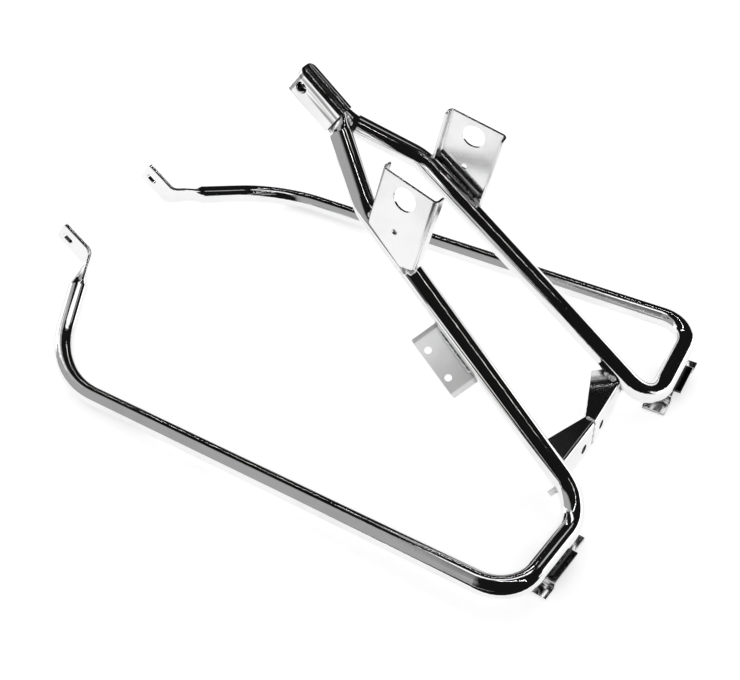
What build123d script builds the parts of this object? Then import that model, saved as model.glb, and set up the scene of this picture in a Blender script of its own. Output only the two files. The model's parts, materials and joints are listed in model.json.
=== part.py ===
from build123d import *
import math
import os

# Pannier frame for a motorbike, bent from chromed tube and folded sheet.
# Origin: the middle of the nose bolt hole. x runs to the right, y forward, z up.
# The frame is symmetric about x = 0, so every side piece is built on the right
# and mirrored. All lengths are in millimetres, all angles in degrees.

# Tube stock and the bends of the two side tubes.
TUBE_OD = 20.0
TUBE_WALL = 1.5
TUBE_R = TUBE_OD / 2
BRANCH_BEND_R = 40.0
REAR_BEND_R = 34.0
FRONT_BEND_R = 90.0

# Main sizes of the frame, to the corners of the tubes' centre lines.
LOOP_HALF_W = 191.5
LOOP_LENGTH = 515.5
RAIL_BACK = 323.0
RAIL_DROP = 281.0

# Slope of the nose and the smaller steps from one bend corner to the next.
NOSE_SLOPE = 39.4
BRANCH_MEET = 34.5
RAIL_FRONT_X = 45.0
RAIL_FRONT_BACK = 112.9
RAIL_REAR_X = 72.5
REAR_SKEW = 6.5
REAR_RISE = 8.2
LOOP_TAPER = 2.5
LOOP_FALL = 17.7
EAR_X = 66.0
EAR_AHEAD = 59.0
EAR_RISE = 45.5

# Nose: both tube ends pressed flat side by side and held in a folded strap.
NOSE_BOLT_D = 11.0
FLAT_THICK = 7.0
BRANCH_ROUND = 52.0
STRAP_THICK = 2.0
STRAP_HEIGHT = 24.4
STRAP_BEND_R = 5.5
STRAP_BACK = 40.4
STRAP_TIP = 11.0

# Ear: the front end of the loop pressed flat, bent forward and slotted.
EAR_THICK = 4.5
EAR_PRESS = 26.0
EAR_FLAT_RUN = 8.0
EAR_BEND_R = 10.0
EAR_REACH = 39.0
EAR_SLOT_BACK = 11.5
EAR_SLOT_W = 8.5
EAR_SLOT_L = 13.0
EAR_CORNER_R = 6.0

# Upright plate: a shallow channel standing on the outer side of the rail.
PLATE_T = 2.0
PLATE_W = 55.6
PLATE_FLANGE = 10.5
PLATE_BEND_R = 3.5
PLATE_TILT = 26.6
PLATE_ALONG = 6.75
PLATE_ABOVE = 68.25
PLATE_FACE = 10.5
PLATE_FRONT_H = 57.3
PLATE_REAR_H = 74.4
PLATE_TOE = (13.9, 79.9)
PLATE_BIG_D = 22.0
PLATE_BIG_DROP = 15.5
PLATE_SMALL_D = 5.5
PLATE_SMALL_DROP = 50.6

# Side tray: a plate with folded ends on the outer underside of the rail.
TRAY_T = 2.5
TRAY_START = 149.0
TRAY_LENGTH = 52.0
TRAY_REACH = 34.5
TRAY_LEAN = 45.0
TRAY_LIP = 7.0
TRAY_FRONT_BEND = 72.0
TRAY_REAR_BEND = 38.0
TRAY_BEND_R = 3.0
TRAY_HOLE_D = 6.6
TRAY_HOLE_AT = 28.0
TRAY_HOLE_GAP = 29.0

# Cross bracket between the rails, welded from two halves in the middle. Each has a nearly level
# wing and a flange hanging from the wing's rear edge, and is swept back to the middle.
CROSS_T = 2.5
CROSS_ALONG = 39.0
CROSS_RISE = 2.2
CROSS_BACK = 0.9
CROSS_SLOPE = 6.0
CROSS_SWEEP = 2.2
CROSS_HALF = 66.0
CROSS_WAIST = 9.0
CROSS_SHOULDER_X = 56.5
CROSS_SHOULDER = 27.0
CROSS_OUTER = 17.5
CROSS_DROP = 30.0
CROSS_BEND_R = 3.0
CROSS_HOLE_D = 9.0
CROSS_HOLE_GAP = 36.4
CROSS_HOLE_DROP = 18.5
CROSS_CUT_X = 26.0
CROSS_CUT_Z = 14.0

# Rear foot: a hat section under each rear tube, on which the frame stands.
FOOT_T = 2.5
FOOT_WIDTH = 28.0
FOOT_SHIFT = 1.5
FOOT_TRIM = 6.0
FOOT_TRIM_RUN = 26.0
FOOT_START = 13.0
FOOT_LENGTH = 78.0
FOOT_INNER_LEDGE = 19.5
FOOT_OUTER_LEDGE = 15.0
FOOT_DROP = 20.5
FOOT_SEAT = 0.6
FOOT_BEND_R = 3.0

# Lug on the outer underside of each rail, near its rear bend.
LUG_T = 2.5
LUG_REACH = 17.0
LUG_WIDTH = 4.6
LUG_ALONG = 28.5

X_AXIS = Vector(1, 0, 0)
Z_AXIS = Vector(0, 0, 1)


def bent_path(points, radii):
    """Straight runs through the corners, joined by tangent arcs of the given radii."""
    edges = []
    start = points[0]
    for before, corner, after, radius in zip(points, points[1:], points[2:], radii):
        d_in = (corner - before).normalized()
        d_out = (after - corner).normalized()
        turn = math.radians(d_in.get_angle(d_out))
        run = radius * math.tan(turn / 2)
        first = corner - d_in * run
        last = corner + d_out * run
        inward = (d_out - d_in).normalized()
        middle = corner + inward * (radius / math.cos(turn / 2) - radius)
        edges.append(Edge.make_line(start, first))
        edges.append(Edge.make_three_point_arc(first, middle, last))
        start = last
    edges.append(Edge.make_line(start, points[-1]))
    return Wire(edges)


def flat_height(thick):
    """Height of the round tube pressed to a given thickness, its outline length kept."""
    return math.pi * (TUBE_OD - thick) / 2 + thick


def rounded(plane, radius):
    """A circle cut into four arcs, so that it lofts cleanly to a flat-sided section."""
    k = radius * math.sqrt(0.5)
    with BuildSketch(plane) as section:
        with BuildLine():
            ThreePointArc((k, -k), (radius, 0), (k, k))
            ThreePointArc((k, k), (0, radius), (-k, k))
            ThreePointArc((-k, k), (-radius, 0), (-k, -k))
            ThreePointArc((-k, -k), (0, -radius), (k, -k))
        make_face()
    return section.sketch


def pressed(plane, height, thick):
    """Flat-sided section with round ends, its long way along the plane's x."""
    flat = (height - thick) / 2
    half = thick / 2
    with BuildSketch(plane) as section:
        with BuildLine():
            ThreePointArc((flat, -half), (flat + half, 0), (flat, half))
            Line((flat, half), (-flat, half))
            ThreePointArc((-flat, half), (-flat - half, 0), (-flat, -half))
            Line((-flat, -half), (flat, -half))
        make_face()
    return section.sketch


def folded_sheet(plane, points, thick, radius, width):
    """A sheet folded along corner points of its middle line, as wide as told across the plane."""
    corners = [Vector(a, b, 0) for a, b in points]
    line = bent_path(corners, [radius] * (len(corners) - 2))
    return extrude(plane * trace(line.edges(), thick), width / 2, both=True)


def drill(at, along, diameter, reach):
    """A round cutter centred on a point, reaching both ways."""
    return extrude(Plane(at, z_dir=along) * Circle(diameter / 2), reach, both=True)


# Directions and corners shared by the pieces.
slope = math.radians(NOSE_SLOPE)
nose_dir = Vector(0, math.cos(slope), math.sin(slope))
nose_up = Vector(0, -math.sin(slope), math.cos(slope))
meet = nose_dir * -BRANCH_MEET
rail_front = X_AXIS * RAIL_FRONT_X - nose_dir * RAIL_FRONT_BACK
rail_rear = Vector(RAIL_REAR_X, -RAIL_BACK, -RAIL_DROP)
loop_rear = Vector(LOOP_HALF_W, rail_rear.Y + REAR_SKEW, rail_rear.Z + REAR_RISE)
loop_front = Vector(LOOP_HALF_W - LOOP_TAPER, loop_rear.Y + LOOP_LENGTH, loop_rear.Z - LOOP_FALL)
ear_corner = Vector(EAR_X, loop_front.Y + EAR_AHEAD, loop_front.Z + EAR_RISE)
rail_dir = (rail_rear - rail_front).normalized()
rail_up = rail_dir.cross(X_AXIS).normalized()
rail_out = rail_up.cross(rail_dir)
rear_dir = (loop_rear - rail_rear).normalized()
rear_back = rear_dir.cross(Z_AXIS).normalized()
rear_up = rear_back.cross(rear_dir)


def side_tube(strap):
    """One side tube: pressed nose end, branch, rail, rear run, loop and pressed, slotted ear."""
    branch_dir = (rail_front - meet).normalized()
    branch_start = meet + branch_dir * ((BRANCH_ROUND - BRANCH_MEET) / abs(branch_dir.dot(nose_dir)))
    ear_tube = (ear_corner - loop_front).normalized()
    ear_dir = Vector(0, ear_tube.Y, ear_tube.Z).normalized()
    ear_wide = X_AXIS.cross(ear_dir)
    ear_turn = math.radians(ear_tube.get_angle(ear_dir))
    flat_start = ear_corner - ear_tube * (EAR_BEND_R * math.tan(ear_turn / 2) + EAR_FLAT_RUN)
    round_end = flat_start - ear_tube * EAR_PRESS
    corners = [branch_start, rail_front, rail_rear, loop_rear, loop_front, round_end]
    path = bent_path(corners, [BRANCH_BEND_R, REAR_BEND_R, REAR_BEND_R, FRONT_BEND_R])
    nose_plane = Plane(X_AXIS * (FLAT_THICK / 2) - nose_dir * STRAP_BACK, x_dir=nose_up, z_dir=-nose_dir)
    branch_plane = Plane(branch_start, x_dir=nose_up, z_dir=branch_dir)
    end_plane = Plane(round_end, x_dir=ear_wide, z_dir=ear_tube)
    flat_plane = Plane(flat_start, x_dir=ear_wide, z_dir=ear_tube)

    def body(inset, nose_run):
        nose_face = pressed(nose_plane, flat_height(FLAT_THICK) - 2 * inset, FLAT_THICK - 2 * inset)
        solid = extrude(nose_face, -nose_run)
        solid += loft([nose_face, rounded(branch_plane, TUBE_R - inset)])
        solid += sweep(branch_plane * Circle(TUBE_R - inset), path=path)
        return solid

    ear_tip = ear_corner + ear_dir * EAR_REACH
    ear_face = pressed(flat_plane, flat_height(EAR_THICK), EAR_THICK)
    nose_run = STRAP_BACK + STRAP_TIP - STRAP_THICK
    outer = body(0, nose_run)
    outer += loft([rounded(end_plane, TUBE_R), ear_face])
    outer += sweep(ear_face, path=bent_path([flat_start, ear_corner, ear_tip], [EAR_BEND_R]))
    tube = outer - body(TUBE_WALL, nose_run + TUBE_WALL) - strap
    ear_plane = Plane(ear_tip, x_dir=ear_dir, z_dir=X_AXIS)
    half = flat_height(EAR_THICK) / 2
    blade = Pos(-half, 0) * RectangleRounded(2 * half, 2 * half, EAR_CORNER_R)
    corners_off = Rectangle(2 * EAR_CORNER_R, 4 * half) - blade
    slot = Pos(-EAR_SLOT_BACK, 0) * SlotOverall(EAR_SLOT_L, EAR_SLOT_W)
    tube -= extrude(ear_plane * corners_off, 2 * EAR_THICK, both=True)
    tube -= extrude(ear_plane * slot, 2 * EAR_THICK, both=True)
    tube -= drill(Vector(0, 0, 0), X_AXIS, NOSE_BOLT_D, 2 * FLAT_THICK)
    return tube, outer


def nose_strap():
    """Strap folded round both pressed tube ends, with the nose bolt hole through its sides."""
    side = FLAT_THICK + STRAP_THICK / 2
    front = STRAP_TIP - STRAP_THICK / 2
    corners = [(-side, -STRAP_BACK), (-side, front), (side, front), (side, -STRAP_BACK)]
    plane = Plane((0, 0, 0), x_dir=X_AXIS, z_dir=nose_up)
    strap = folded_sheet(plane, corners, STRAP_THICK, STRAP_BEND_R, STRAP_HEIGHT)
    return strap - drill(Vector(0, 0, 0), X_AXIS, NOSE_BOLT_D, 2 * side)


def upright_plate(tube):
    """Channel plate: its own frame has u rearward along the top edge and v downward."""
    tilt = math.radians(PLATE_TILT)
    u = rail_dir * math.cos(tilt) + rail_up * math.sin(tilt)
    v = rail_dir * math.sin(tilt) - rail_up * math.cos(tilt)
    top = rail_front + rail_dir * PLATE_ALONG + rail_up * PLATE_ABOVE
    tall = PLATE_TOE[1]
    edge = (PLATE_W - PLATE_T) / 2
    face = PLATE_FACE - PLATE_T / 2
    free = PLATE_FACE - PLATE_FLANGE
    section = Plane(top + v * (tall / 2), x_dir=u, z_dir=u.cross(rail_out))
    plate = folded_sheet(section, [(-edge, free), (-edge, face), (edge, face), (edge, free)],
                         PLATE_T, PLATE_BEND_R, tall)
    flat = Plane(top, x_dir=u, z_dir=u.cross(v))
    below = Polyline((-PLATE_W, PLATE_FRONT_H), (-PLATE_W / 2, PLATE_FRONT_H), PLATE_TOE,
                     (PLATE_W / 2, PLATE_REAR_H), (PLATE_W, PLATE_REAR_H),
                     (PLATE_W, 2 * tall), (-PLATE_W, 2 * tall), close=True)
    plate -= extrude(flat * make_face(below), PLATE_W, both=True)
    plate -= drill(top + v * PLATE_BIG_DROP, rail_out, PLATE_BIG_D, PLATE_W)
    plate -= drill(top + v * PLATE_SMALL_DROP, rail_out, PLATE_SMALL_D, PLATE_W)
    return plate - tube


def side_tray(tube):
    """Plate with both short ends folded back, leaning outward and down from the rail."""
    lean = math.radians(TRAY_LEAN)
    reach = rail_out * math.cos(lean) - rail_up * math.sin(lean)
    face = rail_out * math.sin(lean) + rail_up * math.cos(lean)
    front = math.radians(TRAY_FRONT_BEND)
    rear = math.radians(TRAY_REAR_BEND)
    half = TRAY_LENGTH / 2
    front_lip = (-half - TRAY_LIP * math.cos(front), -TRAY_LIP * math.sin(front))
    rear_lip = (half + TRAY_LIP * math.cos(rear), -TRAY_LIP * math.sin(rear))
    centre = rail_rear - rail_dir * (TRAY_START + half)
    section = Plane(centre + reach * (TRAY_REACH / 2), x_dir=rail_dir, z_dir=rail_dir.cross(face))
    tray = folded_sheet(section, [front_lip, (-half, 0), (half, 0), rear_lip],
                        TRAY_T, TRAY_BEND_R, TRAY_REACH)
    for side in (-1, 1):
        hole = centre + reach * TRAY_HOLE_AT + rail_dir * (side * TRAY_HOLE_GAP / 2)
        tray -= drill(hole, face, TRAY_HOLE_D, TRAY_LIP)
    return tray - tube


def half_bracket(tube):
    """Half of the cross bracket: a wing that widens to the rail and its flange, one folded sheet."""
    lean = math.radians(CROSS_SLOPE)
    sweep = math.radians(CROSS_SWEEP)
    out = Vector(math.cos(sweep), math.sin(sweep), 0)
    ahead = Vector(-math.sin(sweep), math.cos(sweep), 0)
    rail_point = rail_rear - rail_dir * CROSS_ALONG
    fold = Vector(0, rail_point.Y - CROSS_BACK, rail_point.Z + CROSS_RISE)
    section = Plane(fold, x_dir=ahead, z_dir=out)
    deep = CROSS_SHOULDER
    wing_edge = (deep * math.cos(lean), deep * math.sin(lean))
    sheet = folded_sheet(section, [wing_edge, (0, 0), (0, -CROSS_DROP)],
                         CROSS_T, CROSS_BEND_R, 2 * CROSS_HALF)
    wing = Plane(fold, x_dir=out, z_dir=Z_AXIS * math.cos(lean) - ahead * math.sin(lean))
    notch = Polyline((-CROSS_HALF, CROSS_WAIST), (0, CROSS_WAIST), (CROSS_SHOULDER_X, deep),
                     (CROSS_HALF, CROSS_OUTER), (CROSS_HALF, 2 * deep), (-CROSS_HALF, 2 * deep), close=True)
    sheet -= extrude(wing * make_face(notch), 3 * CROSS_T, both=True)
    flange = Plane(fold, x_dir=out, z_dir=-ahead)
    corner = Polyline((CROSS_HALF, -CROSS_DROP - CROSS_T), (CROSS_HALF, CROSS_CUT_Z - CROSS_DROP),
                      (CROSS_HALF - CROSS_CUT_X, -CROSS_DROP - CROSS_T), close=True)
    sheet -= extrude(flange * make_face(corner), 3 * CROSS_T, both=True)
    hole = fold + out * (CROSS_HOLE_GAP / 2) - Z_AXIS * CROSS_HOLE_DROP
    sheet -= drill(hole, ahead, CROSS_HOLE_D, 3 * CROSS_T)
    sheet -= Pos(-CROSS_HALF, fold.Y, fold.Z) * Box(2 * CROSS_HALF, 4 * deep, 4 * CROSS_DROP)
    return sheet - tube


def rear_foot(tube):
    """Hat section seated under the rear run, its two ledges standing on the ground."""
    half = FOOT_LENGTH / 2
    low = FOOT_T / 2 - FOOT_DROP
    high = FOOT_SEAT - TUBE_R - FOOT_T / 2
    centre = rail_rear + rear_dir * (FOOT_START + half)
    section = Plane(centre + rear_back * FOOT_SHIFT, x_dir=rear_dir, z_dir=rear_dir.cross(rear_up))
    inner = FOOT_INNER_LEDGE - half
    outer = half - FOOT_OUTER_LEDGE
    hat = [(-half, low), (inner, low), (inner, high), (outer, high), (outer, low), (half, low)]
    foot = folded_sheet(section, hat, FOOT_T, FOOT_BEND_R, FOOT_WIDTH)
    rear_corner = centre - rear_dir * half + rear_back * (FOOT_SHIFT + FOOT_WIDTH / 2)
    trim = Plane(rear_corner, x_dir=rear_dir, z_dir=rear_up)
    foot -= extrude(trim * Rectangle(2 * FOOT_TRIM_RUN, 2 * FOOT_TRIM), 2 * FOOT_DROP, both=True)
    return foot - tube


def rail_lug(tube):
    """Small tab standing out and down from the rail, in one plane with the side tray."""
    lean = math.radians(TRAY_LEAN)
    reach = rail_out * math.cos(lean) - rail_up * math.sin(lean)
    at = rail_rear - rail_dir * LUG_ALONG + reach * (LUG_REACH / 2)
    face = Plane(at, x_dir=reach, z_dir=reach.cross(rail_dir))
    return extrude(face * Rectangle(LUG_REACH, LUG_WIDTH), LUG_T / 2, both=True) - tube


def mirrored(piece):
    return mirror(piece, about=Plane.YZ)


strap = nose_strap()
right_tube, right_solid = side_tube(strap)
plate = upright_plate(right_solid)
tray = side_tray(right_solid)
bracket = half_bracket(right_solid)
foot = rear_foot(right_solid)
lug = rail_lug(right_solid)

pieces = {
    "right_tube": right_tube,
    "left_tube": mirrored(right_tube),
    "nose_strap": strap,
    "right_upright_plate": plate,
    "left_upright_plate": mirrored(plate),
    "right_side_tray": tray,
    "left_side_tray": mirrored(tray),
    "cross_bracket": bracket + mirrored(bracket),
    "right_rear_foot": foot,
    "left_rear_foot": mirrored(foot),
    "right_rail_lug": lug,
    "left_rail_lug": mirrored(lug),
}

os.makedirs("parts", exist_ok=True)
for name, piece in pieces.items():
    solids = piece.solids()
    box = piece.bounding_box()
    size = f"{box.size.X:.1f} x {box.size.Y:.1f} x {box.size.Z:.1f} mm"
    print(f"{name}: {len(solids)} solid, {piece.volume / 1000:.2f} cm3, {size}, valid {piece.is_valid}")
    export_step(solids[0] if len(solids) == 1 else piece, f"parts/{name}.step")
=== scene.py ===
# %% [markdown]
# A pannier frame for a motorbike: two bent tubes, chromed all over, with folded sheet brackets
# welded to them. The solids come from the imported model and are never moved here. This lesson gives
# them their chrome, lays weld beads along the joints, and builds the studio in which chrome shows
# its shape: a white table below and a dark tent above.

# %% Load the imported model
import bpy
import json
import math
import numpy as np
from mathutils import Matrix, Vector


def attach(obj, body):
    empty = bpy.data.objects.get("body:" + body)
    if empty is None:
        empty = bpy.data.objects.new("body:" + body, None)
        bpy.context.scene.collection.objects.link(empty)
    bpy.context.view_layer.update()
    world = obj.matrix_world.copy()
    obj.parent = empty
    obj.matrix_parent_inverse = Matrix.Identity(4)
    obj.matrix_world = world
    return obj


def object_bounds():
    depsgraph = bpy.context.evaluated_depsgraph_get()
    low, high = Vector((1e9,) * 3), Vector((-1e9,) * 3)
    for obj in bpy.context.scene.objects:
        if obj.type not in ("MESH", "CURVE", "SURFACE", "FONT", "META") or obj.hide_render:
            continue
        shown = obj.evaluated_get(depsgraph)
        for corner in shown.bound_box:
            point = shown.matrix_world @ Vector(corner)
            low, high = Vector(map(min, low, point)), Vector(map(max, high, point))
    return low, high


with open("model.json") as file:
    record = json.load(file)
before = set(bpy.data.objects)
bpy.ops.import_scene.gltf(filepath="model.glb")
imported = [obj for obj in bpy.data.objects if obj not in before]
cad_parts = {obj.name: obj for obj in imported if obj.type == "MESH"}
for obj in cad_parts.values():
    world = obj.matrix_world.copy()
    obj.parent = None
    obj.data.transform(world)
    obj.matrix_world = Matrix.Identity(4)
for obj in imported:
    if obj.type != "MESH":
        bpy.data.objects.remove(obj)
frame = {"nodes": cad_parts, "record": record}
nodes = frame["nodes"]
scene = bpy.context.scene
scene.view_settings.view_transform = "Standard"
cad_box = [list(corner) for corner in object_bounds()]
floor_z = cad_box[0][2]
print("nodes:", len(nodes), "floor at", round(floor_z, 4))

# %% [markdown]
# The camera stands to the left of the frame, behind it and above it. A camera could be aimed with
# a Track To constraint, but writing its three axes as the columns of a matrix keeps the small roll
# that a hand-held picture has. The focal length in pixels becomes a lens in millimetres.

# %% Camera
PHOTO_W = 740
FOCAL_PX = 1127.866
SENSOR_MM = 36.0
CAMERA_AT = Vector((-0.6852, -0.5296, 0.4726))
CAMERA_RIGHT = Vector((0.54934, -0.83519, -0.02634)).normalized()
CAMERA_FORWARD = Vector((0.61506, 0.42548, -0.66383)).normalized()


def placed(data, at, right, back):
    """Object at a point, its x axis along right and its z axis along back, made square to it."""
    up = back.cross(right).normalized()
    turn = Matrix((right, up, right.cross(up))).transposed()
    thing = bpy.data.objects.new(data.name, data)
    thing.matrix_world = Matrix.Translation(at) @ turn.to_4x4()
    scene.collection.objects.link(thing)
    return thing


lens = bpy.data.cameras.new("camera")
lens.sensor_fit = "HORIZONTAL"
lens.sensor_width = SENSOR_MM
lens.lens = FOCAL_PX * SENSOR_MM / PHOTO_W
scene.camera = placed(lens, CAMERA_AT, CAMERA_RIGHT, -CAMERA_FORWARD)
print("lens", round(lens.lens, 2), "mm")

# %% [markdown]
# A material is a tree of nodes, and it could be wired by hand in the shader editor. Here a few
# helpers each add one node, fill its sockets and hand back its output, so that a tree written in
# Python reads like a formula.

# %% Helpers for node trees
def socket_in(tree, socket, value):
    """Set a socket to a plain value, or link it to another node's output."""
    if isinstance(value, bpy.types.NodeSocket):
        tree.links.new(value, socket)
    else:
        socket.default_value = value


def math_node(tree, kind, operation, values):
    """Math or Vector Math node with its inputs filled in order."""
    node = tree.nodes.new(kind)
    node.operation = operation
    for socket, value in zip(node.inputs, values):
        socket_in(tree, socket, value)
    return node


def calc(tree, operation, *values):
    """Result of a Math node on numbers or outputs."""
    return math_node(tree, "ShaderNodeMath", operation, values).outputs[0]


def ramp(tree, value, from_low, from_high, to_low=0.0, to_high=1.0):
    """Smooth step of a value from one range to another."""
    node = tree.nodes.new("ShaderNodeMapRange")
    node.interpolation_type = "SMOOTHSTEP"
    for name, setting in zip(("Value", "From Min", "From Max", "To Min", "To Max"),
                             (value, from_low, from_high, to_low, to_high)):
        socket_in(tree, node.inputs[name], setting)
    return node.outputs["Result"]


# %% Helpers for the studio's shaders
def empty_tree(owner):
    """Node tree of a material or world with all its nodes removed."""
    owner.use_nodes = True
    owner.node_tree.nodes.clear()
    return owner.node_tree


def seen_ray(tree):
    """1 for rays from the camera, a mirror or glass, 0 for the rays that only carry light."""
    path = tree.nodes.new("ShaderNodeLightPath")
    direct = calc(tree, "MAXIMUM", path.outputs["Is Camera Ray"], path.outputs["Is Glossy Ray"])
    return calc(tree, "MAXIMUM", direct, path.outputs["Is Transmission Ray"])


def mixed(tree, factor, first, second):
    """Mix Shader node: first where the factor is 0, second where it is 1."""
    node = tree.nodes.new("ShaderNodeMixShader")
    for socket, value in zip(node.inputs, (factor, first, second)):
        tree.links.new(value, socket)
    return node.outputs[0]


def shown(tree, kind, shader):
    """Link a shader to the output node of a material or a world."""
    out = tree.nodes.new("ShaderNodeOutput" + kind)
    tree.links.new(shader, out.inputs["Surface"])


# %% [markdown]
# Chrome has no colour of its own: it shows the room. The table is white paper. A plain diffuse
# floor would need strong lamps to look white, and those would burn out the metal, so the paper glows
# a little, but only for what is seen directly, in a mirror or through glass. Its diffuse part still
# takes the shadow of the frame.

# %% White paper
PAPER_WHITE = 0.8
PAPER_GLOW = 0.55


def paper_material():
    """White paper: diffuse, plus a glow for the rays that see it."""
    mat = bpy.data.materials.new("white_paper")
    tree = empty_tree(mat)
    diffuse = tree.nodes.new("ShaderNodeBsdfDiffuse")
    diffuse.inputs["Color"].default_value = (PAPER_WHITE, PAPER_WHITE, PAPER_WHITE, 1)
    glow = tree.nodes.new("ShaderNodeEmission")
    glow.inputs["Strength"].default_value = PAPER_GLOW
    both = tree.nodes.new("ShaderNodeAddShader")
    tree.links.new(diffuse.outputs[0], both.inputs[0])
    tree.links.new(glow.outputs[0], both.inputs[1])
    shown(tree, "Material", mixed(tree, seen_ray(tree), diffuse.outputs[0], both.outputs[0]))
    return mat


white_paper = paper_material()
print("paper:", white_paper.name)

# %% White table
FLOOR_HALF = 8.0


def stage_mesh(name, points, faces, material):
    """Mesh that belongs to the studio and not to the frame."""
    mesh = bpy.data.meshes.new(name)
    mesh.from_pydata(points, [], faces)
    mesh.materials.append(material)
    thing = bpy.data.objects.new(name, mesh)
    scene.collection.objects.link(thing)
    return thing


def flat_sheet(name, corner, first, second, material):
    """Flat piece of the studio with four corners: one corner and the two edges that start there."""
    corner, first, second = (np.array(v, float) for v in (corner, first, second))
    points = np.array([corner, corner + first, corner + first + second, corner + second])
    return stage_mesh(name, points.tolist(), [(0, 1, 2, 3)], material)


flat_sheet("table", (-FLOOR_HALF, -FLOOR_HALF, floor_z), (2 * FLOOR_HALF, 0, 0), (0, 2 * FLOOR_HALF, 0),
           white_paper)
print("table:", 2 * FLOOR_HALF, "m square")

# %% [markdown]
# The world is white where it is seen, as the backdrop, and a softer grey for the light it gives. A
# picture of a studio could light the scene too. Two Background nodes, chosen by the kind of ray, give
# an even light and a clean white behind the frame.

# %% White backdrop
WORLD_LIGHT = 0.55
BACKDROP_WHITE = 1.0


def set_world():
    """World of two shades: grey for the rays that only carry light, white for those that see it."""
    world = bpy.data.worlds.new("backdrop")
    tree = empty_tree(world)
    shades = []
    for shade in (WORLD_LIGHT, BACKDROP_WHITE):
        node = tree.nodes.new("ShaderNodeBackground")
        node.inputs["Color"].default_value = (shade, shade, shade, 1)
        shades.append(node.outputs[0])
    shown(tree, "World", mixed(tree, seen_ray(tree), *shades))
    scene.world = world


set_world()
print("world:", scene.world.name, "gives light of", WORLD_LIGHT)

# %% [markdown]
# In a white room chrome would vanish, so black and grey cloth is hung around it. Cloth could be lit
# like anything else, but then each lamp would change its shade. An Emission shader of a low, fixed
# strength shows in the chrome at just the shade that is wanted, and the object's ray visibility hides
# it from the camera and keeps it from shading the table.

# %% Cloth for the studio
TENT_BLACK = 0.008


def cloth_material(name, shade, fade=None):
    """Cloth of one shade, or of one that rises from black to its shade over a range of y."""
    mat = bpy.data.materials.new(name)
    tree = empty_tree(mat)
    glow = tree.nodes.new("ShaderNodeEmission")
    glow.inputs["Strength"].default_value = shade
    if fade:
        split = tree.nodes.new("ShaderNodeSeparateXYZ")
        tree.links.new(tree.nodes.new("ShaderNodeTexCoord").outputs["Object"], split.inputs[0])
        tree.links.new(ramp(tree, split.outputs["Y"], *fade, TENT_BLACK, shade), glow.inputs["Strength"])
    shown(tree, "Material", glow.outputs[0])
    return mat


def only_in_mirrors(thing):
    """Show a studio piece in the chrome alone, so it takes no light from the table."""
    thing.visible_camera = False
    thing.visible_diffuse = False
    thing.visible_shadow = False


black_cloth = cloth_material("black_cloth", TENT_BLACK)
print("cloth:", black_cloth.name)

# %% [markdown]
# A tent of black cloth covers the sky above a low white horizon, and reaches down to the table on the
# side where the camera stands. It could be half of a UV sphere, cut by hand. As a grid of azimuth and
# elevation its rim is one row of points, so it can stand at a different height on each side.

# %% Dark tent
TENT_RADIUS = 3.6
TENT_RIM = math.radians(10)
TENT_SIDE = math.radians(75)
TENT_FALL = math.radians(10)
TENT_AROUND = 96
TENT_STEPS = 16
towards = Vector((CAMERA_FORWARD.x, CAMERA_FORWARD.y)).normalized()
camera_side = math.atan2(-towards.y, -towards.x)


def ring_faces(rings, around):
    """Quads between neighbouring rings of points: a point, the next in its ring, and those above them."""
    ring, step = np.meshgrid(np.arange(rings - 1), np.arange(around), indexing="ij")
    start = ring * around + step
    beside = ring * around + (step + 1) % around
    return np.stack([start, beside, beside + around, start + around], axis=-1).reshape(-1, 4)


def tent_points():
    """Dome over azimuth and elevation. The elevation runs from a rim to the top, and the rim falls from
    its usual height to the table, as a ramp of the azimuth, within an angle of the camera's side."""
    azimuth = np.linspace(0, 2 * np.pi, TENT_AROUND, endpoint=False)
    away = np.abs((azimuth - camera_side + np.pi) % (2 * np.pi) - np.pi)
    rim = TENT_RIM * np.clip((away - TENT_SIDE) / TENT_FALL, 0, 1)
    elevation = rim + np.linspace(0, 1, TENT_STEPS)[:, None] * (np.pi / 2 - rim)
    flat = np.cos(elevation)
    dome = np.stack([flat * np.cos(azimuth), flat * np.sin(azimuth), np.sin(elevation)], axis=-1)
    return (dome * TENT_RADIUS + (0, 0, floor_z)).reshape(-1, 3)


tent_faces = ring_faces(TENT_STEPS, TENT_AROUND)
only_in_mirrors(stage_mesh("tent", tent_points().tolist(), tent_faces.tolist(), black_cloth))
print("tent:", len(tent_faces), "faces, rim at", round(math.degrees(TENT_RIM)), "degrees")

# %% [markdown]
# The same cloth lies on the table in front of the camera, where the near sides of the tubes would
# mirror white paper. It could be a darker patch in the paper's material, but a sheet just above the
# paper shows in the chrome alone, and the table itself stays white.

# %% Cloth on the table
CLOTH_Z = floor_z + 0.002
CLOTH_EDGE = -0.37
CLOTH_FRONT = 0.3
ahead_flat = np.array((*towards, 0))
left_flat = np.array((-towards.y, towards.x, 0))
cloth_corner = ahead_flat * CLOTH_EDGE + left_flat * CLOTH_FRONT + (0, 0, CLOTH_Z)
only_in_mirrors(flat_sheet("cloth_on_table", cloth_corner, -left_flat * (TENT_RADIUS + CLOTH_FRONT),
                           -ahead_flat * (TENT_RADIUS + CLOTH_EDGE), black_cloth))
print("cloth on the table from", CLOTH_EDGE, "m")

# %% [markdown]
# Grey screens stand in the tent in front of the frame and to its left, like the inside of a large
# box. Long tubes mirror them as one even grey band with a sharp edge, which is what makes a round
# bar look round. Towards the rear they fade into the dark of the tent. They are meshes and not lights,
# because a mirror adds up lights that lie behind one another, while a mesh hides what is behind it.

# %% Grey screens
SCREEN_GREY = 0.40
SCREEN_FADE = (-0.1, 0.45)
BOX_LEFT = -2.0
BOX_FRONT = 2.2
BOX_TOP = 1.02
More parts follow.
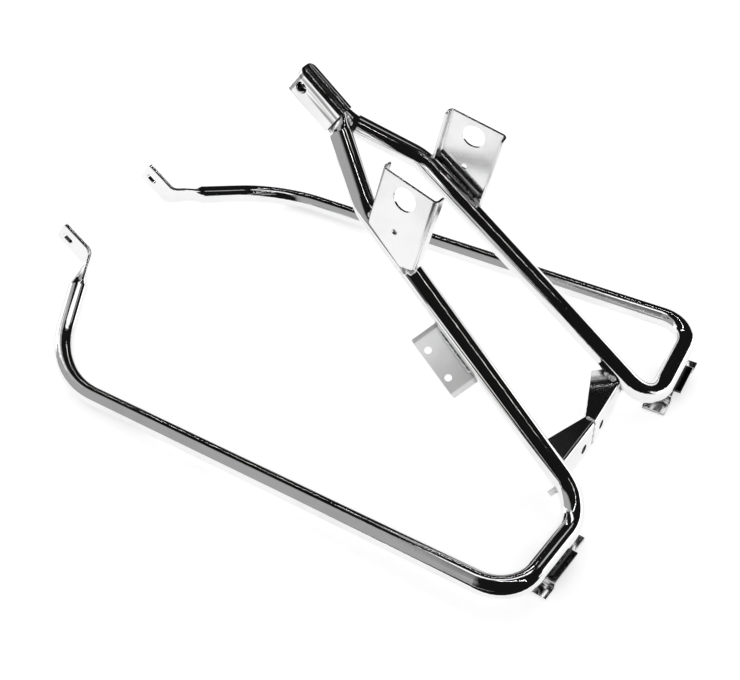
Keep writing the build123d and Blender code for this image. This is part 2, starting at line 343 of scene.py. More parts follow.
# Each screen has a low and a high corner, which agree in one of the three coordinates.
screens = {
    "left_screen": ((BOX_LEFT, -0.6, floor_z), (BOX_LEFT, BOX_FRONT, BOX_TOP)),
    "front_screen": ((BOX_LEFT, BOX_FRONT, floor_z), (-0.55, BOX_FRONT, BOX_TOP)),
    "top_screen": ((BOX_LEFT, 0.05, BOX_TOP), (-0.06, BOX_FRONT, BOX_TOP)),
    "left_table": ((BOX_LEFT, 0.0, CLOTH_Z), (-0.6, BOX_FRONT, CLOTH_Z)),
    "front_table": ((-0.6, 0.42, CLOTH_Z), (0.2, BOX_FRONT, CLOTH_Z)),
}
grey_cloth = cloth_material("grey_cloth", SCREEN_GREY, SCREEN_FADE)
for name, (low, high) in screens.items():
    size = np.subtract(high, low)
    only_in_mirrors(flat_sheet(name, low, *np.diag(size)[size != 0], grey_cloth))
print("screens:", len(screens))

# %% [markdown]
# White cards light the frame, and chrome shows each card as a bright patch. The front card stands in
# front of the ears and lightens the left front bend. The low card stands behind the frame, to its right,
# and whitens the lower edge of the rear runs. Lamps of other kinds could light it too, but an area light
# has the plain outline of a card. Its power is its radiance times pi times its area, so each card is
# given the brightness that a mirror shows.

# %% Cards that stand on the table
Z_UP = Vector((0, 0, 1))
MIDDLE = Vector((0.0, -0.02, 0.0))


def card(name, at, facing, along, width, height, radiance):
    """Flat light that shines along facing, with its width along another direction."""
    data = bpy.data.lights.new(name, "AREA")
    data.shape = "RECTANGLE"
    data.size = width
    data.size_y = height
    data.energy = radiance * math.pi * width * height
    light = placed(data, at, along.normalized(), -facing.normalized())
    light.visible_camera = False
    return light


def standing_card(name, azimuth, distance, width, height, radiance):
    """Card that stands on the table and faces the frame."""
    turn = math.radians(azimuth)
    out = Vector((math.cos(turn), math.sin(turn), 0))
    at = MIDDLE + out * distance + Z_UP * (floor_z + height / 2)
    card(name, at, -out, Z_UP.cross(out), width, height, radiance)


standing_card("front_card", azimuth=95, distance=2.2, width=0.7, height=1.3, radiance=1.1)
standing_card("low_card", azimuth=-51, distance=1.6, width=1.5, height=0.26, radiance=1.0)
print("standing cards:", len(bpy.data.lights))

# %% [markdown]
# Three cards hang above. The top card and the ear card whiten the tubes behind the ears, the branches
# and the rear runs, and the side card lightens the left front bend. Two thin strips draw the fine bright
# lines along the tubes. Such lines could be painted on, but as reflections they follow each bend.

# %% Cards and strips overhead
OVERHEAD_Z = 1.0
STRIP_WIDTH = 0.012
STRIP_RADIANCE = 12
# Each row gives the middle, the direction of the long side, the length, the width and the radiance.
overhead = {
    "top_card": ((0.34, -0.16), (0.69, -0.73), 1.1, 0.26, 1.2),
    "side_card": ((-0.43, 1.75), (-0.353, 0.936), 0.96, 0.2, 0.8),
    "ear_card": ((1.07, -0.92), (0.69, -0.73), 0.4, 0.26, 0.45),
    "rail_strip": ((0.05, -1.1), (0, 1), 1.8, STRIP_WIDTH, STRIP_RADIANCE),
    "loop_strip": ((1.0, 0.9), (0, 1), 1.8, STRIP_WIDTH, STRIP_RADIANCE),
}
for name, (at, along, length, width, radiance) in overhead.items():
    card(name, Vector((*at, OVERHEAD_Z)), -Z_UP, Vector((*along, 0)), length, width, radiance)
print("overhead:", ", ".join(overhead))

# %% [markdown]
# Satin pieces and welds scatter light, so they need some that falls on them from the camera's side. A
# card there would wash out the table, so light linking lets this one reach a collection of its own and
# nothing else. The trays and lugs go into it here, and each weld bead when it is made.

# %% Fill card
FILL_AT = Vector((-0.77, -1.37, 0.48))
FILL_TO = Vector((-0.09, -0.20, -0.17))
FILL_SIZE = 1.0
FILL_RADIANCE = 2.8
fill_way = FILL_TO - FILL_AT
fill = card("fill_card", FILL_AT, fill_way, Z_UP.cross(fill_way), FILL_SIZE, FILL_SIZE, FILL_RADIANCE)
fill.visible_glossy = False
fill_lit = bpy.data.collections.new("fill_lit")
fill.light_linking.receiver_collection = fill_lit
for name, node in nodes.items():
    if name.endswith(("side_tray", "rail_lug")):
        fill_lit.objects.link(node)

# %% [markdown]
# Chrome looks even from a step away, but close up it shows faint polishing lines, cloudy patches
# where it was handled, and rougher corners where the wheel could not reach, darkened as painted shade.
# These marks could be drawn into each material. Two node groups hold them instead, so every finish can
# use them with its own values.

# %% Helpers for node groups
def new_group(name, inputs, outputs):
    """Empty shader group with float or vector sockets, given as name and kind."""
    tree = bpy.data.node_groups.new(name, "ShaderNodeTree")
    for direction, sockets in (("INPUT", inputs), ("OUTPUT", outputs)):
        for label, kind in sockets:
            tree.interface.new_socket(label, in_out=direction, socket_type="NodeSocket" + kind)
    return tree, tree.nodes.new("NodeGroupInput"), tree.nodes.new("NodeGroupOutput")


def use_group(tree, group, inputs):
    """Outputs of a group that is placed in a material with its own inputs."""
    node = tree.nodes.new("ShaderNodeGroup")
    node.node_tree = group
    for label, value in inputs.items():
        socket_in(tree, node.inputs[label], value)
    return node.outputs


def noise(tree, vector, scale, detail, roughness=0.5):
    """Noise texture value at a coordinate."""
    node = tree.nodes.new("ShaderNodeTexNoise")
    for name, setting in zip(("Vector", "Scale", "Detail", "Roughness"), (vector, scale, detail, roughness)):
        socket_in(tree, node.inputs[name], setting)
    return node.outputs["Fac"]


# %% Node groups for the marks in chrome
LINE_RANGE = (0.3, 0.7)
HAZE_RANGE = (0.42, 0.72)
CORNER_RANGE = (0.85, 0.35)
CORNER_SAMPLES = 8


def polish_group():
    """Fine lines and cloudy haze: one noise squeezed by the caller, one left round."""
    sockets = [("Line Vector", "Vector"), ("Place", "Vector"),
               ("Line Scale", "Float"), ("Haze Scale", "Float")]
    tree, start, end = new_group("polish_marks", sockets, [("Lines", "Float"), ("Haze", "Float")])
    given = start.outputs
    lines = noise(tree, given["Line Vector"], given["Line Scale"], detail=2.0, roughness=0.6)
    cloud = noise(tree, given["Place"], given["Haze Scale"], detail=5.0, roughness=0.6)
    tree.links.new(ramp(tree, lines, *LINE_RANGE), end.inputs["Lines"])
    tree.links.new(ramp(tree, cloud, *HAZE_RANGE), end.inputs["Haze"])
    return tree


def corner_shade_group():
    """Corner mask for painted shade and added roughness: how much of the near half space is closed off by
    other metal.
    """
    tree, start, end = new_group("corner_shade", [("Reach", "Float")], [("Mask", "Float")])
    hidden = tree.nodes.new("ShaderNodeAmbientOcclusion")
    hidden.samples = CORNER_SAMPLES
    tree.links.new(start.outputs["Reach"], hidden.inputs["Distance"])
    tree.links.new(ramp(tree, hidden.outputs["AO"], *CORNER_RANGE), end.inputs["Mask"])
    return tree


polish_marks = polish_group()
corner_shade = corner_shade_group()
print("groups:", polish_marks.name, corner_shade.name)

# %% [markdown]
# One function makes every finish on the frame, from mirror chrome to satin. Its colour is chrome mixed
# with a darker tone: painted shade in the corners, a duller grey in the haze, and a share that each finish
# gives. Lines and haze move the roughness by a few hundredths, which is enough to break a mirror. Sheet
# metal was cut with shears, so its edges get a small rounding. They could be bevelled as geometry, but the
# Bevel node only turns the normal and leaves the solid as it is.

# %% Colour, roughness and normal of chrome
CHROME = (0.88, 0.88, 0.885, 1)
# The corners take this share of the darker tone as painted shade, beside their added roughness.
CORNER_SHADE = 0.9
HAZE_DULL = 0.12
CORNER_ROUGH = 0.15
LINE_DEPTH = 0.00002
EDGE_SAMPLES = 6


def chrome_colour(tree, marks, corner, shade_and_streaks, dark_tone):
    """Chrome mixed with a darker tone: most in the corners as painted shade, a little in the haze, and the
    share that the finish gives.
    """
    darker_share = calc(tree, "MULTIPLY", corner, CORNER_SHADE)
    darker_share = calc(tree, "MULTIPLY_ADD", marks["Haze"], HAZE_DULL, darker_share)
    darker_share = calc(tree, "MINIMUM", calc(tree, "ADD", darker_share, shade_and_streaks), 1.0)
    tint = tree.nodes.new("ShaderNodeMix")
    tint.data_type = "RGBA"
    tree.links.new(darker_share, tint.inputs["Factor"])
    tint.inputs["A"].default_value = CHROME
    tint.inputs["B"].default_value = dark_tone
    return tint.outputs["Result"]


def chrome_roughness(tree, marks, corner, polish, lines, haze):
    """A base roughness, plus what the lines, the haze and the corners add to it."""
    rough = calc(tree, "MULTIPLY_ADD", marks["Lines"], lines, polish)
    rough = calc(tree, "MULTIPLY_ADD", marks["Haze"], haze, rough)
    return calc(tree, "MULTIPLY_ADD", corner, CORNER_ROUGH, rough)


def chrome_normal(tree, marks, lines, wave, edge):
    """Normal with the lines and a wave as bump, on edges that are rounded by a radius."""
    bump = tree.nodes.new("ShaderNodeBump")
    bump.inputs["Distance"].default_value = 1.0
    height = calc(tree, "MULTIPLY", marks["Lines"], LINE_DEPTH * lines)
    tree.links.new(calc(tree, "ADD", height, wave), bump.inputs["Height"])
    if edge:
        soft = tree.nodes.new("ShaderNodeBevel")
        soft.samples = EDGE_SAMPLES
        soft.inputs["Radius"].default_value = edge
        tree.links.new(soft.outputs["Normal"], bump.inputs["Normal"])
    return bump.outputs["Normal"]


# %% Chrome
# The darker tone: a duller grey for haze and streaks, painted shade in the corners and on the trays.
DARK_GREY = (0.32, 0.32, 0.315, 1)
LINE_SCALE = 1600.0
HAZE_SCALE = 22.0
CORNER_REACH = 0.006
LINES_ACROSS_Y = (1, 0.05, 1)
LINES_ACROSS_X = (0.05, 1, 1)
LINES_EVEN = (1, 1, 1)


def squeezed(tree, vector, scale):
    """Coordinates divided by a scale for each axis: a small one draws a pattern together along it."""
    node = tree.nodes.new("ShaderNodeMapping")
    node.vector_type = "TEXTURE"
    tree.links.new(vector, node.inputs["Vector"])
    node.inputs["Scale"].default_value = scale
    return node.outputs["Vector"]


def chrome(name, polish, lines, haze, metal=1.0, squeeze=LINES_ACROSS_Y, edge=0.0, wave=None, shade_and_streaks=None,
           dark_tone=DARK_GREY):
    """Material with a base roughness and what its lines and its haze add to it. Wave is a bump height and
    the mask a share of the darker tone: painted shade on trays, seats and holes, belt streaks on the strap;
    each a function of the place on the piece."""
    mat = bpy.data.materials.new(name)
    mat.use_nodes = True
    tree = mat.node_tree
    shader = tree.nodes["Principled BSDF"].inputs
    shader["Metallic"].default_value = metal
    place = tree.nodes.new("ShaderNodeTexCoord").outputs["Object"]
    marks = use_group(tree, polish_marks, {"Line Vector": squeezed(tree, place, squeeze), "Place": place,
                                           "Line Scale": LINE_SCALE, "Haze Scale": HAZE_SCALE})
    corner = use_group(tree, corner_shade, {"Reach": CORNER_REACH})["Mask"]
    darker_share = shade_and_streaks(tree, place) if shade_and_streaks else 0.0
    bumps = wave(tree, place) if wave else 0.0
    tree.links.new(chrome_colour(tree, marks, corner, darker_share, dark_tone), shader["Base Color"])
    tree.links.new(chrome_roughness(tree, marks, corner, polish, lines, haze), shader["Roughness"])
    tree.links.new(chrome_normal(tree, marks, lines, bumps, edge), shader["Normal"])
    return mat


# %% [markdown]
# Bend marks and weld beads follow the lines along which the tubes were bent. These could be measured
# on the meshes, but the corners and slopes of the drawing are few and exact, so they are written down
# here for the right side, in metres. The left side is its mirror image.

# %% Lines of the frame
TUBE_R = 0.010
NOSE_SLOPE = math.radians(39.4)
RAIL_FRONT_X = 0.045
RAIL_FRONT_BACK = 0.1129
RAIL_REAR = np.array((0.0725, -0.323, -0.281))
LOOP_REAR = np.array((0.1915, -0.3165, -0.2728))
LOOP_FRONT = np.array((0.189, 0.199, -0.2905))
X = np.array((1.0, 0, 0))
Y = np.array((0, 1.0, 0))
Z = np.array((0, 0, 1.0))


def unit(vector):
    """Vectors scaled to length one, along the last axis."""
    vector = np.asarray(vector, float)
    return vector / np.linalg.norm(vector, axis=-1, keepdims=True)


nose_dir = np.array((0, math.cos(NOSE_SLOPE), math.sin(NOSE_SLOPE)))
nose_up = np.array((0, -math.sin(NOSE_SLOPE), math.cos(NOSE_SLOPE)))
rail_front = X * RAIL_FRONT_X - nose_dir * RAIL_FRONT_BACK
rail_dir = unit(RAIL_REAR - rail_front)
rail_up = unit(np.cross(rail_dir, X))
rail_out = np.cross(rail_up, rail_dir)
rear_dir = unit(LOOP_REAR - RAIL_REAR)
rear_back = unit(np.cross(rear_dir, Z))
rear_up = np.cross(rear_back, rear_dir)
print("rail slopes", round(math.degrees(math.asin(-rail_dir[2])), 1), "degrees")

# %% [markdown]
# A tube that is bent tight wrinkles a little on the inside of the bend, and chrome shows it: the
# bright lines break up there. The wrinkles could be modelled, but they are about a tenth of a
# millimetre deep, so they are bump, faded in by the distance to the corner of each bend. Dropping the
# signs of the coordinates serves the left and the right tube with one set of corners.

# %% Chrome of the tubes
WRINKLE_DEPTH = 0.00012
WRINKLE_SCALE = 170.0
WRINKLE_REACH = (0.05, 0.016)
FRONT_REACH = (0.09, 0.03)
BENDS = ((RAIL_REAR, WRINKLE_REACH), (LOOP_REAR, WRINKLE_REACH), (LOOP_FRONT, FRONT_REACH))


def vector_calc(tree, operation, *values):
    """Vector that a Vector Math node gives."""
    return math_node(tree, "ShaderNodeVectorMath", operation, values).outputs["Vector"]


def length_calc(tree, operation, *values):
    """Number that a Vector Math node gives, such as a distance or a dot product."""
    return math_node(tree, "ShaderNodeVectorMath", operation, values).outputs["Value"]


def folded(tree, place):
    """Coordinates with all signs dropped, the same for the right and the left side."""
    return vector_calc(tree, "ABSOLUTE", place)


def bend_wrinkles(tree, place):
    """Bump height: a round noise of about 6 mm, faded in near the corners of the bends."""
    spot = folded(tree, place)
    near = 0.0
    for corner, reach in BENDS:
        gap = length_calc(tree, "DISTANCE", spot, np.abs(corner))
        near = calc(tree, "MAXIMUM", near, ramp(tree, gap, *reach))
    wrinkles = calc(tree, "MULTIPLY", noise(tree, place, WRINKLE_SCALE, detail=2.0), near)
    return calc(tree, "MULTIPLY", wrinkles, WRINKLE_DEPTH)


def give_finish(ending, finish):
    """Put a material on every node whose name has this ending."""
    dressed = [name for name in nodes if name.endswith(ending)]
    for name in dressed:
        nodes[name].data.materials.clear()
        nodes[name].data.materials.append(finish)
    print(finish.name, "on", ", ".join(dressed))


give_finish("_tube", chrome("tube_chrome", polish=0.035, lines=0.03, haze=0.05, wave=bend_wrinkles))

# %% [markdown]
# The upright plates are flat sheet, polished less finely than the tubes. A flat mirror shows one
# patch of the room, so their lines and haze are what makes them look like metal. The edges of every
# sheet piece are rounded by half a millimetre.

# %% Chrome of the upright plates
SHEET_EDGE = 0.0005
plate_chrome = chrome("plate_chrome", polish=0.07, lines=0.06, haze=0.06, edge=SHEET_EDGE)
give_finish("upright_plate", plate_chrome)

# %% [markdown]
# The trays are plated as satin, with a dark front lip and a face that darkens towards the rear, painted on as
# reflection and shade. A rough metal would still mirror the dark tent, so satin has a low metal value and
# scatters light. The painted shade could be an image, but a share of a darker tone along the rail is enough:
# a dot product measures how far down the rail a place lies, and ramps turn that into the share. The lugs get
# the same satin without the painted shade.

# %% Satin of the trays and lugs
TRAY_START = 0.149
TRAY_LENGTH = 0.052
TRAY_SHADE = 0.6
FRONT_LIP = (0.0005, -0.001)
REAR_FOLD = 0.004
REAR_LIP = 0.002
SATIN_METAL = 0.1


def along_axis(tree, place, axis):
    """Distance along an axis, as the dot product of the place and the axis."""
    return length_calc(tree, "DOT_PRODUCT", place, axis)


def tray_painted_shade(tree, place):
    """Painted shade along the tray: high on the front lip, low behind it, growing to the rear fold."""
    slope = np.abs(rail_dir)
    down = along_axis(tree, folded(tree, place), slope)
    rear = float(np.abs(RAIL_REAR - rail_dir * TRAY_START) @ slope)
    front = rear - TRAY_LENGTH
    lip = ramp(tree, down, front + FRONT_LIP[0], front + FRONT_LIP[1], 0.0, TRAY_SHADE)
    face = ramp(tree, down, front, rear - REAR_FOLD, 0.0, TRAY_SHADE)
    return calc(tree, "MULTIPLY_ADD", face, ramp(tree, down, rear + REAR_LIP, rear), lip)


give_finish("side_tray", chrome("tray_satin", polish=0.40, lines=0.14, haze=0.08, metal=SATIN_METAL,
                                edge=SHEET_EDGE, shade_and_streaks=tray_painted_shade))
give_finish("rail_lug", chrome("lug_satin", polish=0.30, lines=0.10, haze=0.10, metal=SATIN_METAL,
                               edge=SHEET_EDGE))

# %% [markdown]
# Under the rear tubes the seats of the feet are painted dark, as painted shade under the tubes. They could be
# faces with a second material, but the solids are loose triangles that stay as they are, so a mask over
# a range of x darkens them inside the one material.

# %% Painted shade on the seats of the feet
# Near black of the painted shade on the seats of the feet and in the flange holes.
SHADE_BLACK = (0.07, 0.07, 0.07, 1)
SEAT_RUN = (0.112, 0.148)
SEAT_SOFT = 0.002


def seat_shade(tree, place):
    """Painted shade of a foot: 1 on the seat under the tube, 0 on the ledges at its ends."""
    across = along_axis(tree, folded(tree, place), X)
    inner = ramp(tree, across, SEAT_RUN[0] - SEAT_SOFT, SEAT_RUN[0])
    outer = ramp(tree, across, SEAT_RUN[1] + SEAT_SOFT, SEAT_RUN[1])
    return calc(tree, "MULTIPLY", inner, outer)


give_finish("rear_foot", chrome("foot_chrome", polish=0.09, lines=0.06, haze=0.10, squeeze=LINES_ACROSS_X,
                                edge=SHEET_EDGE, shade_and_streaks=seat_shade, dark_tone=SHADE_BLACK))

# %% [markdown]
# The bolt holes in the bracket's flange were drilled, and their walls are painted dark too, as painted shade
# inside the holes. A ring could be drawn around each hole by hand. The imported record already lists every
# hole with its middle, axis and radius, so the wall is where the distance from that axis is no more than the
# radius.

# %% Painted shade in the holes of the cross bracket
WALL_EDGE = 0.0004
MM = 0.001


def flange_hole_shade(tree, place):
    """Painted shade of 1 on the wall of the right flange hole and, by the dropped signs, of the left one. The
    distance from the hole's axis is the length of the cross product of the axis and the way to its middle."""
    hole = next(mount for mount in frame["record"]["mounts"] if mount["name"] == "right_flange_hole")
    middle = np.array(hole["pos_m"])
    axis = np.array(hole["axis"]) * np.sign(middle)
    radius = hole["dims"]["r_mm"] * MM
    away = vector_calc(tree, "SUBTRACT", folded(tree, place), np.abs(middle))
    gap = length_calc(tree, "LENGTH", vector_calc(tree, "CROSS_PRODUCT", away, axis))
    return ramp(tree, gap, radius + WALL_EDGE, radius)


give_finish("cross_bracket", chrome("bracket_chrome", polish=0.06, lines=0.05, haze=0.06,
                                    squeeze=LINES_ACROSS_X, edge=SHEET_EDGE, shade_and_streaks=flange_hole_shade,
                                    dark_tone=SHADE_BLACK))

# %% [markdown]
# The nose strap has grey streaks along its length, left by the polishing belt. Streaks could be drawn
# with a Wave texture, but that repeats. A noise is fed with the distances across and along the strap,
# the first one scaled up, so each spot is pulled out into a streak.

# %% Streaks on the nose strap
STREAK_ACROSS = 190.0
STREAK_ALONG = 9.0
STREAK_RANGE = (0.5, 0.66)


def belt_streaks(tree, place):
    """Dull share from a noise of the distances across and along the strap, fine across and long along."""
    spot = tree.nodes.new("ShaderNodeCombineXYZ")
    for socket, axis, scale in (("X", nose_up, STREAK_ACROSS), ("Y", nose_dir, STREAK_ALONG)):
        tree.links.new(calc(tree, "MULTIPLY", along_axis(tree, place, axis), scale), spot.inputs[socket])
    return ramp(tree, noise(tree, spot.outputs[0], scale=1.0, detail=2.0), *STREAK_RANGE)


give_finish("nose_strap", chrome("strap_chrome", polish=0.045, lines=0.05, haze=0.06, edge=SHEET_EDGE,
                                 shade_and_streaks=belt_streaks))

# %% [markdown]
# Every bracket is welded on. A weld bead is a rope of overlapping drops: its cross-section is about
# half an ellipse, and its skin has a scale for each drop. Beads could be sculpted one by one. Here a
# closed profile is carried along the line of each joint, and the scales are a ripple along the path.

# %% Points of a weld bead
BEAD_STEP = 0.0004
BEAD_AROUND = 20
FEWEST_RINGS = 8
SCALE_DEPTH = 0.32
LUMP_DEPTH = 0.18
LUMP_PITCH = 0.0083


def resampled(path, step):
    """Points at an even distance along a line of points, and how far along the line each one is."""
    leg = np.linalg.norm(np.diff(path, axis=0), axis=1)
    run = np.concatenate([[0], np.cumsum(leg)])
    at = np.linspace(0, run[-1], max(FEWEST_RINGS, int(run[-1] / step)))
    return np.column_stack([np.interp(at, run, path[:, k]) for k in range(3)]), at


def bead_points(path, bulge, width, height, pitch):
    """Rings of a rope along a path, and the two points that close it. Around each point of the path
    stands the ellipse (width/2 cos a, height sin a), with the bulge as its upper side. It is scaled by
    1 + depth |cos(pi (s/pitch + sin(a)/3))| for the drops plus a slow sine for the hand that held the
    torch, and by a quarter circle over one width at both ends, so that it closes in a point."""
    line, run = resampled(np.asarray(path, float), BEAD_STEP)
    along = np.linspace(0, 1, len(path))
    up = np.column_stack([np.interp(run / run[-1], along, bulge[:, k]) for k in range(3)])
    ahead = unit(np.gradient(line, axis=0))
    side = unit(np.cross(ahead, up))
    up = np.cross(side, ahead)
    angle = np.linspace(0, 2 * np.pi, BEAD_AROUND, endpoint=False)
    end = np.clip(np.minimum(run, run[-1] - run) / width, 0, 1)
    fade = np.sqrt(1 - (1 - end) ** 2)[:, None, None]
    scales = SCALE_DEPTH * np.abs(np.cos(np.pi * (run[:, None] / pitch + np.sin(angle) / 3)))
    drop = 1 + scales + LUMP_DEPTH * np.sin(2 * np.pi * run / LUMP_PITCH)[:, None]
    across = width / 2 * np.cos(angle)[:, None]
    above = height * np.sin(angle)[:, None]
    ring = side[:, None] * across + up[:, None] * above
    rings = (line[:, None] + ring * fade * drop[..., None])[1:-1]
    return rings, line[[0, -1]]


# %% [markdown]
# The points become a mesh with quads between the rings and a fan of triangles at each end, so that it
# is closed and its faces point outwards. A weld is rougher than the tube beside it and was plated along
# with it, so its finish lies between chrome and satin. Most joints are there twice, and the left bead
# is worked out again from the mirrored path, because a mirrored mesh would be inside out.

# %% Weld bead
DROP_PITCH = 0.0034
weld_chrome = chrome("weld_chrome", polish=0.14, lines=0.05, haze=0.12, metal=0.7, squeeze=LINES_EVEN)


def weld_bead(name, path, bulge, width, height, pitch=DROP_PITCH, finish=weld_chrome):
    """Closed mesh of one bead: quads between its rings, and triangles to the point at each end."""
    rings, ends = bead_points(path, bulge, width, height, pitch)
    count = len(rings)
    rim = np.arange(BEAD_AROUND)
    turn = (rim + 1) % BEAD_AROUND
    last = (count - 1) * BEAD_AROUND
    first_point = np.full(BEAD_AROUND, count * BEAD_AROUND)
    first_cap = np.column_stack([turn, rim, first_point])
    last_cap = np.column_stack([last + rim, last + turn, first_point + 1])
    points = np.concatenate([rings.reshape(-1, 3), ends])
    faces = ring_faces(count, BEAD_AROUND).tolist() + first_cap.tolist() + last_cap.tolist()
    mesh = bpy.data.meshes.new(name)
    mesh.from_pydata(points.tolist(), [], faces)
    mesh.polygons.foreach_set("use_smooth", np.ones(len(mesh.polygons), bool))
    mesh.materials.append(finish)
    mesh.update()
    bead = bpy.data.objects.new(name, mesh)
    scene.collection.objects.link(bead)
    fill_lit.objects.link(bead)
    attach(bead, "root")
    length = np.linalg.norm(np.diff(path, axis=0), axis=1).sum()
    print("weld:", name, round(float(length), 4), "m long")


def weld_both_sides(name, path, bulge, **bead):
    """The same bead on the right and, with x turned round, on the left."""
    for side, sign in (("right", 1), ("left", -1)):
        flip = np.array((sign, 1, 1))
        weld_bead(f"{side}_{name}", path * flip, bulge * flip, **bead)


print("weld finish:", weld_chrome.name)

# %% [markdown]
# The trays and the lugs are fins that stand out from the rail's axis, outward and down. Such a fin meets
# the tube in a straight line on each of its faces, half a thickness from its middle plane, so that line
# needs no search. The tray welds share the polish of the plates, so their drops show as small dots.

# %% Welds of the trays and lugs
TRAY_HALF_T = 0.00125
TRAY_INSET = 0.004
LUG_ALONG = 0.0285
LUG_HALF_W = 0.0023
LUG_HALF_T = 0.00125
LEAN = math.radians(45)
lean_out = rail_out * math.cos(LEAN) - rail_up * math.sin(LEAN)
lean_face = rail_out * math.sin(LEAN) + rail_up * math.cos(LEAN)


def fin_joint(start, end, half_t, side, count=24):
    """Corner between the rail and a fin that stands out from its axis, on one face of the fin."""
    along = np.linspace(start, end, count)[:, None]
    root = math.sqrt(TUBE_R ** 2 - half_t ** 2)
    path = RAIL_REAR - rail_dir * along + lean_out * root + lean_face * (half_t * side)
    return path, np.tile(unit(lean_out + lean_face * side), (count, 1))


tray_run = (TRAY_START + TRAY_INSET, TRAY_START + TRAY_LENGTH - TRAY_INSET, TRAY_HALF_T)
lug_run = (LUG_ALONG - LUG_HALF_W, LUG_ALONG + LUG_HALF_W, LUG_HALF_T)
weld_both_sides("tray_top_weld", *fin_joint(*tray_run, 1), width=0.0044, height=0.0018,
                finish=plate_chrome)
weld_both_sides("tray_under_weld", *fin_joint(*tray_run, -1), width=0.0036, height=0.0014,
                finish=plate_chrome)
weld_both_sides("lug_weld", *fin_joint(*lug_run, 1), width=0.0028, height=0.0011)

# %% [markdown]
# An upright plate touches its rail in three places: at the pointed toe, at the foot of its front flange
# and along its inner face. Each line could be traced by hand on the tube. Here it is worked out on the
# tube's skin from a distance along the rail and an angle around it.

# %% Lines on the rail's skin and on the plate
PLATE_TILT = math.radians(26.6)
PLATE_ALONG = 0.00675
PLATE_ABOVE = 0.06825
PLATE_W = 0.0556
PLATE_TOE = np.array((0.0139, 0.0799))
PLATE_FACE = 0.0105
PLATE_T = 0.0020
plate_u = rail_dir * math.cos(PLATE_TILT) + rail_up * math.sin(PLATE_TILT)
plate_v = rail_dir * math.sin(PLATE_TILT) - rail_up * math.cos(PLATE_TILT)
plate_top = rail_front + rail_dir * PLATE_ALONG + rail_up * PLATE_ABOVE
plate_toe = plate_top + plate_u * PLATE_TOE[0] + plate_v * PLATE_TOE[1]
toe_along = float((plate_toe - rail_front) @ rail_dir)
print("plate toe", round(toe_along, 4), "m down the rail")


def on_rail(along, angle):
    """Point on the rail's skin: along from its front corner, angle from outward to upward."""
    normal = rail_out * np.cos(angle)[:, None] + rail_up * np.sin(angle)[:, None]
    return rail_front + rail_dir * along[:, None] + normal * TUBE_R, normal


# %% Welds of the upright plates
FLANGE_ARC = (math.radians(35), math.radians(95))
FLANGE_GAP = 0.0003
INNER_RUN = (0.014, 0.062)
INNER_TURN = 0.12
TOE_RUN = (0.003, 0.010)
TOE_ARC = (0.05, 1.40)


def flange_joint(count=24):
    """Foot of the front flange on the rail: the plane u = constant meets the round tube."""
    angle = np.linspace(*FLANGE_ARC, count)
    offset = PLATE_ALONG * math.cos(PLATE_TILT) + PLATE_ABOVE * math.sin(PLATE_TILT)
    level = offset - PLATE_W / 2 - FLANGE_GAP - math.sin(PLATE_TILT) * TUBE_R * np.sin(angle)
    path, normal = on_rail(level / math.cos(PLATE_TILT), angle)
    return path, unit(normal - plate_u)


def inner_joint(count=30):
    """Corner between the inner face of the plate and the top of the rail."""
    angle = np.full(count, math.acos((PLATE_FACE - PLATE_T) / TUBE_R) + INNER_TURN)
    path, normal = on_rail(np.linspace(*INNER_RUN, count), angle)
    return path, unit(normal - rail_out)


def toe_joint(count=20):
    """From the pointed toe of the plate up its short rear edge, over the top of the rail."""
    return on_rail(toe_along + np.linspace(*TOE_RUN, count), np.linspace(*TOE_ARC, count))


weld_both_sides("plate_toe_weld", *toe_joint(), width=0.0080, height=0.0026, pitch=0.0044)
weld_both_sides("plate_flange_weld", *flange_joint(), width=0.0034, height=0.0013)
weld_both_sides("plate_inner_weld", *inner_joint(), width=0.0034, height=0.0015, pitch=0.0045,
                finish=plate_chrome)

# %% [markdown]
# The wings of the cross bracket are flat and run into the round rails at a slant, so each joint is a
# curve. A boolean would find it as an edge of a mesh. Solving the quadratic for where a line meets a
# tube gives the same curve as clean, even points.

# %% Welds of the bracket's wings
CROSS_ALONG = 0.039
CROSS_RISE = 0.0022
CROSS_BACK = 0.0009
CROSS_SLOPE = math.radians(6)
CROSS_SWEEP = math.radians(2.2)
CROSS_HALF_T = 0.00125
WING_START = 0.003
rail_point = RAIL_REAR - rail_dir * CROSS_ALONG
cross_fold = np.array((0, rail_point[1] - CROSS_BACK, rail_point[2] + CROSS_RISE))
wing_out = np.array((math.cos(CROSS_SWEEP), math.sin(CROSS_SWEEP), 0))
wing_level = np.cross(Z, wing_out)
wing_ahead = wing_level * math.cos(CROSS_SLOPE) + Z * math.sin(CROSS_SLOPE)
wing_normal = Z * math.cos(CROSS_SLOPE) - wing_level * math.sin(CROSS_SLOPE)


def wing_joint(side, deep, count=24):
    """Where a face of the wing meets the inner side of the rail: a line along the wing is followed
    outward until it is a tube radius from the rail's axis, the smaller root of a quadratic."""
    across = np.linspace(WING_START, deep, count)[:, None]
    start = cross_fold + wing_ahead * across + wing_normal * (CROSS_HALF_T * side)
    gap = start - RAIL_REAR
    gap = gap - (gap @ rail_dir)[:, None] * rail_dir
    slide = wing_out - (wing_out @ rail_dir) * rail_dir
    a, b, c = slide @ slide, gap @ slide, (gap * gap).sum(axis=1) - TUBE_R ** 2
    reach = ((-b - np.sqrt(b * b - a * c)) / a)[:, None]
    normal = (gap + slide * reach) / TUBE_R
    return start + wing_out * reach, unit(normal + wing_normal * side)


weld_both_sides("wing_top_weld", *wing_joint(1, deep=0.0165), width=0.0062, height=0.0026)
weld_both_sides("wing_under_weld", *wing_joint(-1, deep=0.0125), width=0.0040, height=0.0016)

# %% [markdown]
# The bracket is two mirrored halves, welded together in the middle. The seam runs up the flange, round
# the fold and along the wing. It could be three beads, but one path of a line, an arc and a line keeps
# the drops running on without a break.

# %% Weld in the middle of the bracket
CROSS_BEND_R = 0.003
CROSS_WAIST = 0.009
CROSS_DROP = 0.028
SEAM_BELOW = 0.001
SEAM_INSET = 0.0005


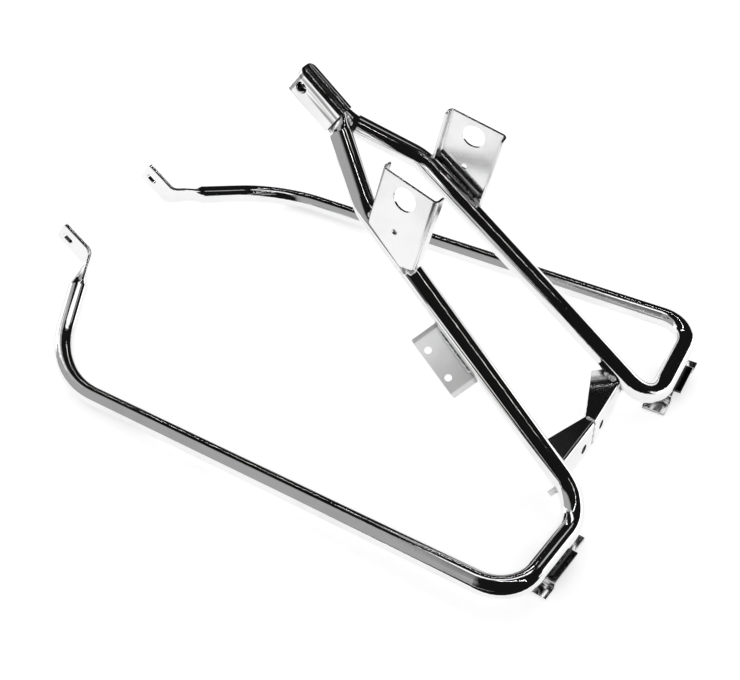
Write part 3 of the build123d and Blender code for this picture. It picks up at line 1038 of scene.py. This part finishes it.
def middle_joint(count=16):
    """Seam where the two halves butt: up the flange, round the fold and along the wing."""
    turn = np.linspace(math.pi, math.pi / 2 + CROSS_SLOPE, count)[:, None]
    around = Y * np.cos(turn) + Z * np.sin(turn)
    lift = -CROSS_BEND_R * (1 - math.sin(CROSS_SLOPE)) / math.cos(CROSS_SLOPE)
    bend = cross_fold + np.array((0, CROSS_BEND_R, lift)) + around * (CROSS_BEND_R + CROSS_HALF_T)
    low = bend[0] - Z * np.linspace(CROSS_DROP + lift, SEAM_BELOW, count)[:, None]
    flat = np.linspace(SEAM_INSET, CROSS_WAIST - CROSS_BEND_R - SEAM_INSET, count)[:, None]
    wing = bend[-1] + wing_ahead * flat
    back = np.tile(around[0], (count, 1))
    top = np.tile(around[-1], (count, 1))
    return np.concatenate([low, bend, wing]), np.concatenate([back, around, top])


weld_bead("middle_weld", *middle_joint(), width=0.0026, height=0.0009, pitch=0.0030)

# %% [markdown]
# A foot is welded to the tube along both sides of its seat, below the tube. Behind the strap the two
# tubes part, and a weld fills the groove between them from above and from below. These joints are
# straight lines, so two end values each are enough.

# %% Welds of the feet and the nose
FOOT_RUN = (0.0365, 0.072)
FOOT_SEAT = 0.0094
FOOT_SIDE = 0.0050
NOSE_RUN = (0.0415, 0.0520)
NOSE_GROOVE = (0.0108, 0.0072)


def foot_joint(side, count=24):
    """Corner between the rear run and the seat below it, on one side of the tube."""
    along = np.linspace(*FOOT_RUN, count)[:, None]
    path = RAIL_REAR + rear_dir * along + rear_back * (FOOT_SIDE * side) - rear_up * FOOT_SEAT
    return path, np.tile(rear_back * side, (count, 1))


def nose_joint(side, count=16):
    """Groove between the two tubes behind the strap, which deepens as they part."""
    back = np.linspace(*NOSE_RUN, count)[:, None]
    lift = np.linspace(*NOSE_GROOVE, count)[:, None]
    return -nose_dir * back + nose_up * (lift * side), np.tile(nose_up * side, (count, 1))


weld_both_sides("foot_rear_weld", *foot_joint(1), width=0.0032, height=0.0022)
weld_both_sides("foot_front_weld", *foot_joint(-1), width=0.0032, height=0.0022)
weld_bead("nose_top_weld", *nose_joint(1), width=0.0034, height=0.0008)
weld_bead("nose_under_weld", *nose_joint(-1), width=0.0034, height=0.0008)
